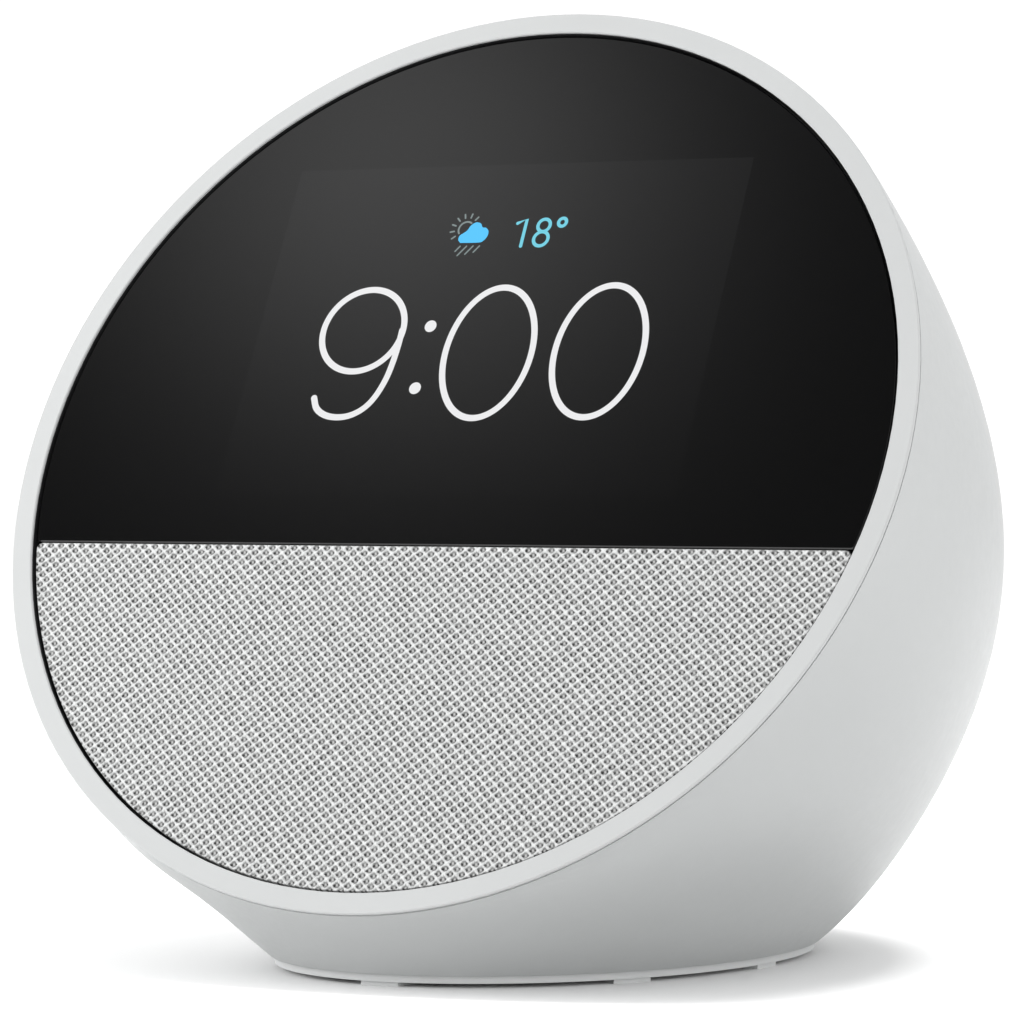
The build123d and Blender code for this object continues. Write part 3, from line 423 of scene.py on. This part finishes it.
LOOKS = {
    "shell_white": lambda name: moulded(name, (0.50, 0.512, 0.512), 0.42, depth=0.000006),
    "ring_white": lambda name: moulded(name, (0.52, 0.53, 0.53), 0.38, depth=0.000005),
    "key_white": lambda name: moulded(name, (0.50, 0.512, 0.512), 0.40, depth=0.000006),
    "foot_grey": lambda name: moulded(name, (0.62, 0.63, 0.63), 0.62, grain=5000.0),
    "window_black": black_glass,
    "knit_grey": knit,
    "moulded_black": lambda name: moulded(name, (0.018, 0.018, 0.019), 0.48, mottle=0.15),
    "tape": lambda name: moulded(name, (0.02, 0.02, 0.02), 0.7, mottle=0.1),
    "touch_sensor": lambda name: moulded(name, (0.05, 0.05, 0.055), 0.12, mottle=0.1),
    "display_module": lambda name: moulded(name, (0.06, 0.06, 0.065), 0.25, mottle=0.1),
    "foam": lambda name: woven(name, (0.05, 0.05, 0.052), (0.012, 0.012, 0.012), 0.0004),
    "sheet_metal": lambda name: metal(name, (0.60, 0.61, 0.62), 0.35, (1.0, 0.1, 1.0)),
    "magnet_steel": lambda name: metal(name, (0.52, 0.53, 0.54), 0.3),
    "magnet": lambda name: moulded(name, (0.045, 0.045, 0.048), 0.55, mottle=0.2),
    "screw_steel": lambda name: metal(name, (0.42, 0.42, 0.43), 0.32),
    "ribbon": lambda name: moulded(name, (0.42, 0.20, 0.05), 0.3, mottle=0.12),
    "soft_rubber": lambda name: moulded(name, (0.02, 0.02, 0.02), 0.72, mottle=0.2),
    "cone_paper": lambda name: woven(name, (0.045, 0.042, 0.04), (0.02, 0.019, 0.018), 0.0006),
    "spider_cloth": lambda name: woven(name, (0.42, 0.27, 0.09), (0.20, 0.12, 0.03), 0.0005),
    "circuit_green": circuit,
    "chip_black": lambda name: moulded(name, (0.022, 0.022, 0.024), 0.42, mottle=0.1),
    "heat_aluminium": lambda name: metal(name, (0.72, 0.73, 0.74), 0.3, (0.1, 1.0, 1.0)),
    "contact_brass": lambda name: metal(name, (0.80, 0.62, 0.32), 0.25),
    "lead_black": lambda name: moulded(name, (0.02, 0.02, 0.022), 0.5, mottle=0.1),
}


def dress_nodes():
    """Gives every CAD node the material of its record slot."""
    made = {}
    for node in NODES.values():
        for place, old in enumerate(node.data.materials):
            slot = old.name.split(".")[0]
            if slot not in made:
                old.name = slot + ".imported"
                made[slot] = LOOKS[slot](slot)
            node.data.materials[place] = made[slot]
    return made


# ---------------------------------------------------------------- knitted cover
def cover_outline(inset, limits):
    """Closed outline of the cover: part of a disc below a level edge, corners rounded."""
    low, top = limits
    radius = -low - inset
    edge = top - inset
    corner = CORNER_RADIUS - inset
    corner_v = edge - corner
    corner_u = math.sqrt((radius - corner) ** 2 - corner_v ** 2)
    turn = math.atan2(corner_v, corner_u)
    points = []
    steps = int(2 * corner_u / EDGE_STEP)
    for i in range(1, steps):
        points.append((corner_u - 2 * corner_u * i / steps, edge))
    for i in range(CORNER_STEPS + 1):
        angle = math.pi / 2 + (math.pi / 2 - turn) * i / CORNER_STEPS
        points.append((-corner_u + corner * math.cos(angle), corner_v + corner * math.sin(angle)))
    steps = int(radius * (math.pi + 2 * turn) / EDGE_STEP)
    for i in range(1, steps):
        angle = math.pi - turn + (math.pi + 2 * turn) * i / steps
        points.append((radius * math.cos(angle), radius * math.sin(angle)))
    for i in range(CORNER_STEPS + 1):
        angle = turn + (math.pi / 2 - turn) * i / CORNER_STEPS
        points.append((corner_u + corner * math.cos(angle), corner_v + corner * math.sin(angle)))
    return points


def knit_height(points):
    """Height of the knit's surface in millimetres: 0 on its ribs, less in its cells."""
    u = points[:, 0] / KNIT_PITCH
    v = points[:, 1] / (2 * KNIT_ROW)
    first = u + v
    second = u - v
    first = first - np.round(first)
    second = second - np.round(second)
    across = first + second
    upward = first - second
    ring = (np.abs(across) / CELL_WIDE) ** CELL_POWER + (np.abs(upward) / CELL_TALL) ** CELL_POWER
    well = 1 - np.clip((ring - WELL_FLOOR) / WELL_SLOPE, 0, 1)
    well = well * well * (3 - 2 * well)
    thread = np.exp(-((across - THREAD_LEAN * upward) / THREAD_WIDTH) ** 2)
    thread = thread * np.exp(-(upward / THREAD_LENGTH) ** 4)
    return -KNIT_DEPTH * well * (1 - THREAD_RISE * thread)


def cover_points(limits):
    """Points of the knit's grid inside the cover's outline, clear of its rolled edge."""
    low, top = limits
    reach = int(KNIT_REACH * -low / KNIT_PITCH * KNIT_STEPS)
    steps = (np.arange(-reach, reach) + 0.5) / KNIT_STEPS
    first, second = np.meshgrid(steps, steps)
    u = KNIT_PITCH * (first + second) / 2
    v = KNIT_ROW * (first - second)
    margin = EDGE_ROLL + EDGE_MARGIN
    radius = -low - margin
    keep = (v < top - margin) & (u ** 2 + v ** 2 < radius ** 2)
    corner_v = top - CORNER_RADIUS
    corner_u = math.sqrt((-low - CORNER_RADIUS) ** 2 - corner_v ** 2)
    in_corner = (np.abs(u) > corner_u) & (v > corner_v * np.abs(u) / corner_u)
    near = (np.abs(u) - corner_u) ** 2 + (v - corner_v) ** 2 < (CORNER_RADIUS - margin) ** 2
    keep &= ~in_corner | near
    return np.column_stack([u[keep], v[keep]])


def add_ring(verts, faces, ring, rim, inset, level):
    """Adds a row of points round the cover's edge, inset from its outline, and joins it on.

    The rim is the cover's outline inset by the radius of the rolled edge.
    """
    before = np.roll(rim, 1, axis=0)
    after = np.roll(rim, -1, axis=0)
    run = after - before
    out = np.column_stack([run[:, 1], -run[:, 0]])
    out /= np.linalg.norm(out, axis=1)[:, None]
    start = len(verts)
    verts.extend(on_face(rim + out * (EDGE_ROLL - inset), level))
    count = len(rim)
    for i in range(count):
        j = (i + 1) % count
        faces.append((ring[i], start + i, start + j, ring[j]))
    return list(range(start, start + count))


def knit_cover(material):
    """Knitted cover with its relief, stretched over the grille and turned down at the edge."""
    low, top = span("speaker_fabric", UP)
    base = FACE_CENTRE.dot(UP)
    limits = ((low - base) / MM, (top - base) / MM)
    front = level_of("speaker_fabric")
    back = (span("speaker_fabric", OUT)[0] - FACE_CENTRE.dot(OUT)) / MM
    rim = np.array(cover_outline(EDGE_ROLL, limits))
    points = [Vector(p) for p in np.vstack([rim, cover_points(limits)])]
    ring = list(range(len(rim)))
    made, _, faces, _, _, _ = delaunay_2d_cdt(points, [], [ring], 1, 1e-6, False)
    made = np.array([tuple(p) for p in made])
    verts = list(on_face(made, front + knit_height(made)))
    faces = [tuple(f) for f in faces]
    for share, angle in ROLL_ROWS:
        inset = EDGE_ROLL * (1 - share)
        drop = EDGE_ROLL * (1 - math.cos(math.radians(angle)))
        ring = add_ring(verts, faces, ring, rim, inset, front - drop)
    ring = add_ring(verts, faces, ring, rim, 0.0, back + HEM_START)
    add_ring(verts, faces, ring, rim, HEM_FOLD, back)
    cover = add_piece("knit_cover", verts, faces, material, "housing")
    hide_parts("speaker_fabric")


# ---------------------------------------------------------------- lit picture
def smooth_line(points, steps=14):
    """Points along a smooth curve through the given ones."""
    points = np.array(points, float)
    padded = np.vstack([2 * points[0] - points[1], points, 2 * points[-1] - points[-2]])
    line = []
    for a, b, c, d in zip(padded, padded[1:], padded[2:], padded[3:]):
        bend = 2 * a - 5 * b + 4 * c - d
        twist = 3 * b - a - 3 * c + d
        for t in np.linspace(0, 1, steps, endpoint=False):
            line.append((2 * b + (c - a) * t + bend * t ** 2 + twist * t ** 3) / 2)
    line.append(points[-1])
    return np.array(line)


def ellipse(u, v, half_width, half_height, start=0.0, end=360.0, steps=96):
    """Points of an ellipse round (u, v), or of the part of it between two angles in degrees."""
    angles = np.radians(np.linspace(start, end, steps + 1))
    return np.column_stack([u + half_width * np.cos(angles), v + half_height * np.sin(angles)])


def ribbon(line, width, closed=False):
    """Outlines of a stroke: one with round ends, or two when the line closes on itself."""
    line = line[:-1] if closed else line
    before = np.roll(line, 1, axis=0)
    after = np.roll(line, -1, axis=0)
    if not closed:
        before[0] = line[0]
        after[-1] = line[-1]
    run = after - before
    side = np.column_stack([-run[:, 1], run[:, 0]])
    side /= np.linalg.norm(side, axis=1)[:, None]
    left = line + side * width / 2
    right = line - side * width / 2
    if closed:
        return [right, left]
    caps = []
    for end, direction in ((line[-1], side[-1]), (line[0], -side[0])):
        turn = math.atan2(direction[1], direction[0])
        angles = turn - np.linspace(0, math.pi, CAP_STEPS + 1)[1:-1]
        caps.append(end + width / 2 * np.column_stack([np.cos(angles), np.sin(angles)]))
    return [np.vstack([left, caps[0], right[::-1], caps[1]])[::-1]]


def plate(outlines, bottom, top):
    """Thin closed solid over a flat outline, or between an outer and an inner one."""
    verts = []
    faces = []
    count = len(outlines[0])
    for outline in outlines:
        verts.extend(on_face(outline, bottom))
        verts.extend(on_face(outline, top))
    for j in range(count):
        k = (j + 1) % count
        faces.append((j, k, count + k, count + j))
        if len(outlines) == 2:
            inner = 2 * count
            faces.append((inner + k, inner + j, inner + count + j, inner + count + k))
            faces.append((count + j, count + k, inner + count + k, inner + count + j))
            faces.append((k, j, inner + j, inner + k))
    if len(outlines) == 1:
        flat = [Vector((u, v, 0.0)) for u, v in outlines[0]]
        for cap in tessellate_polygon([flat]):
            a, b, c = (flat[i] for i in cap)
            corners = cap if (b - a).cross(c - a).z > 0 else cap[::-1]
            faces.append(tuple(count + i for i in corners))
            faces.append(tuple(reversed(corners)))
    return verts, faces


def drawing(name, shapes, material):
    """Flat lit shapes just proud of the window, as one piece."""
    glass = level_of("display_window")
    verts = []
    faces = []
    for outlines in shapes:
        more_verts, more_faces = plate(outlines, glass - PICTURE_LIFT, glass + PICTURE_LIFT)
        start = len(verts)
        verts.extend(more_verts)
        faces.extend(tuple(start + i for i in face) for face in more_faces)
    add_piece(name, verts, faces, material, "housing", smooth=False)


ORIGIN = (0.57, -0.45)      # middle of the picture's layout on the glass
NINE_LOOP = ((-16.1, 15.7), (11.38, 11.38))
NINE_STEM = (
    (-10.93, 15.7), (-10.92, 13.8), (-11.07, 11.5), (-11.43, 9.3), (-12.25, 7.1), (-13.35, 5.65),
    (-14.9, 4.75), (-16.6, 4.5), (-18.3, 4.8), (-19.6, 5.65), (-20.3, 7.0),
)
ZEROS = ((1.1, 12.66), (15.22, 12.7))
ZERO_SIZE = (11.96, 17.45)
COLON = ((-7.3, 16.14), (-7.27, 8.17))
COLON_SIZE = 1.5
ONE = ((0.75, 29.35), (1.85, 29.85), (1.85, 26.35))
EIGHT_AND_DEGREE = (        # middle, half width and half height of each loop
    (4.25, 29.0, 0.78, 0.80), (4.25, 27.25, 0.92, 0.92), (6.55, 29.35, 0.50, 0.52),
)
CLOUD = (
    (-6.2, 26.95), (-6.55, 27.35), (-6.5, 27.9), (-6.05, 28.25), (-5.65, 28.6),
    (-5.35, 29.2), (-4.75, 29.6), (-4.1, 29.45), (-3.75, 28.95), (-3.25, 28.85),
    (-2.85, 28.4), (-2.85, 27.75), (-3.2, 27.2), (-3.8, 26.95),
)
SUN = (-5.9, 28.75)
SUN_RADIUS = 0.95
SUN_ARC = (55.0, 215.0)     # the part of the sun that the cloud leaves free
RAY_ANGLES = range(50, 219, 28)
RAY_REACH = (1.5, 2.0)
RAIN_START = (-6.1, 26.5)
RAIN_STEP = 0.85
RAIN_LENGTHS = (0.8, 1.5, 1.3, 1.0)
RAIN_SLOPE = (0.62, 0.8)


def placed(line):
    """A line of the picture's layout, moved to where the picture lies on the glass."""
    return np.asarray(line, float) + np.array(ORIGIN)


def clock(material):
    """Thin clock figures."""
    shapes = [ribbon(placed(smooth_line(NINE_STEM)), CLOCK_STROKE)]
    for place, outer in ((ZEROS[0], ZERO_SIZE), (ZEROS[1], ZERO_SIZE), NINE_LOOP):
        half = [(size - CLOCK_STROKE) / 2 for size in outer]
        shapes.append(ribbon(placed(ellipse(*place, *half)), CLOCK_STROKE, closed=True))
    for place in COLON:
        dot = ellipse(*place, COLON_SIZE / 2, COLON_SIZE / 2, steps=32)[:-1]
        shapes.append([placed(dot)])
    drawing("clock_figures", shapes, material)


def temperature(material):
    """Small temperature beside the weather sign: 18 degrees."""
    shapes = [ribbon(placed(ONE), CAPTION_STROKE)]
    for loop in EIGHT_AND_DEGREE:
        shapes.append(ribbon(placed(ellipse(*loop, steps=40)), CAPTION_STROKE, closed=True))
    drawing("temperature_figures", shapes, material)


def weather(sky, sun):
    """Cloud in front of a sun with rays, and slanting rain below."""
    outline = smooth_line(CLOUD + (CLOUD[0],), steps=8)[:-1][::-1]
    drawing("weather_cloud", [[placed(outline)]], sky)
    arc = ellipse(*SUN, SUN_RADIUS, SUN_RADIUS, *SUN_ARC, steps=30)
    shapes = [ribbon(placed(arc), SUN_STROKE)]
    for degrees in RAY_ANGLES:
        angle = math.radians(degrees)
        ray = [(SUN[0] + r * math.cos(angle), SUN[1] + r * math.sin(angle)) for r in RAY_REACH]
        shapes.append(ribbon(placed(ray), RAY_STROKE))
    for i, length in enumerate(RAIN_LENGTHS):
        u = RAIN_START[0] + i * RAIN_STEP
        v = RAIN_START[1]
        drop = [(u, v), (u - RAIN_SLOPE[0] * length, v - RAIN_SLOPE[1] * length)]
        shapes.append(ribbon(placed(drop), RAIN_STROKE))
    drawing("weather_sun_and_rain", shapes, sun)


# ---------------------------------------------------------------- camera, floor and lights
def direction(azimuth, elevation):
    """Unit vector towards an azimuth, from the front towards the right, and an elevation."""
    a = math.radians(azimuth)
    e = math.radians(elevation)
    return Vector((math.sin(a) * math.cos(e), -math.cos(a) * math.cos(e), math.sin(e)))


def look_at(thing, place, target):
    """Puts a camera, lamp or card at a place and turns its front to the target."""
    thing.location = place
    thing.rotation_euler = (target - place).to_track_quat("-Z", "Y").to_euler()


def add_camera():
    data = bpy.data.cameras.new("camera")
    data.lens = LENS
    data.sensor_width = SENSOR
    camera = bpy.data.objects.new("camera", data)
    bpy.context.scene.collection.objects.link(camera)
    look_at(camera, AIM + CAMERA_DISTANCE * direction(CAMERA_AZIMUTH, CAMERA_ELEVATION), AIM)
    bpy.context.scene.camera = camera


def add_light(name, azimuth, elevation, distance, size, power):
    """Square softbox that points at the object."""
    data = bpy.data.lights.new(name, "AREA")
    data.shape = "RECTANGLE"
    data.size = size
    data.size_y = size
    data.energy = power
    light = bpy.data.objects.new(name, data)
    light.visible_glossy = False
    bpy.context.scene.collection.objects.link(light)
    look_at(light, AIM + distance * direction(azimuth, elevation), AIM)
    return light


def only_on(light, thing):
    """Lets a light reach one object only."""
    lit_things = bpy.data.collections.new(light.name + "_receivers")
    lit_things.objects.link(thing)
    light.light_linking.receiver_collection = lit_things


def square_mesh(name, size):
    """Flat square mesh round its own origin."""
    half = size / 2
    corners = [(-half, -half, 0), (half, -half, 0), (half, half, 0), (-half, half, 0)]
    mesh = bpy.data.meshes.new(name)
    mesh.from_pydata(corners, [], [(0, 1, 2, 3)])
    return mesh


def add_glare():
    """Softbox that shows in glossy surfaces only: bright in its middle, dark at its edges."""
    camera = AIM + CAMERA_DISTANCE * direction(CAMERA_AZIMUTH, CAMERA_ELEVATION)
    mirrored = camera - 2 * (camera - FACE_CENTRE).dot(OUT) * OUT
    target = Vector(on_face([GLARE_MIDDLE], 0.0)[0])
    away = (target - mirrored).normalized()
    mesh = square_mesh("softbox", GLARE_SIZE)
    look = Look("softbox_cloth")
    length = look.tree.nodes.new("ShaderNodeVectorMath")
    length.operation = "LENGTH"
    look.link(look.place, length.inputs[0])
    share = look.math("DIVIDE", length.outputs["Value"], GLARE_SPREAD * math.sqrt(2))
    fall = look.math("EXPONENT", look.math("MULTIPLY", look.math("MULTIPLY", share, share), -1.0))
    strength = look.math("MULTIPLY_ADD", fall, GLARE_PEAK, GLARE_FLOOR)
    look.link(strength, look.shader.inputs["Emission Strength"])
    look.set(Emission_Color=(1, 1, 1, 1), Base_Color=(0, 0, 0, 1))
    mesh.materials.append(look.material)
    card = bpy.data.objects.new("softbox", mesh)
    bpy.context.scene.collection.objects.link(card)
    look_at(card, target + GLARE_DISTANCE * away, target)
    card.visible_camera = False
    card.visible_diffuse = False
    card.visible_shadow = False
    card.visible_transmission = False


def add_floor():
    """Pale table top that the camera sees, over a darker one that throws the light back up."""
    floors = []
    for name, tone, seen in (("floor", FLOOR_TONE, True), ("floor_bounce", BOUNCE_TONE, False)):
        mesh = square_mesh(name, FLOOR_SIZE)
        look = Look(name + "_white")
        grey = (tone, tone, tone)
        cloud = look.blend(look.noise(3.0), shade(grey, 0.99), shade(grey, 1.01))
        look.link(cloud, look.shader.inputs["Base Color"])
        look.set(Roughness=0.9, Specular_IOR_Level=0.1)
        mesh.materials.append(look.material)
        floor = bpy.data.objects.new(name, mesh)
        bpy.context.scene.collection.objects.link(floor)
        floors.append(floor)
        floor.visible_camera = seen
        floor.visible_glossy = seen
        floor.visible_diffuse = not seen
        floor.visible_shadow = not seen
    seen_floor, bounce_floor = floors
    bounce_floor.location.z = -FLOOR_GAP
    return seen_floor


def add_world():
    world = bpy.data.worlds.new("studio")
    world.use_nodes = True
    background = world.node_tree.nodes["Background"]
    background.inputs["Color"].default_value = (1.0, 1.0, 1.0, 1.0)
    background.inputs["Strength"].default_value = WORLD_LIGHT
    bpy.context.scene.world = world


def add_studio():
    table_top = add_floor()
    add_world()
    add_glare()
    lights = {name: add_light(name, *settings) for name, *settings in LIGHTS}
    only_on(lights["floor_wash"], table_top)
    bpy.context.scene.view_settings.view_transform = "Standard"


add_camera()
looks = dress_nodes()
knit_cover(looks["knit_grey"])
clock(lit("figures_white", (0.83, 0.83, 0.84), 1.0))
temperature(lit("figures_blue", (0.156, 0.61, 0.75), 1.0))
weather(lit("cloud_blue", (0.07, 0.546, 0.956), 1.0), lit("sun_grey", (0.20, 0.25, 0.25), 1.0))
add_studio()
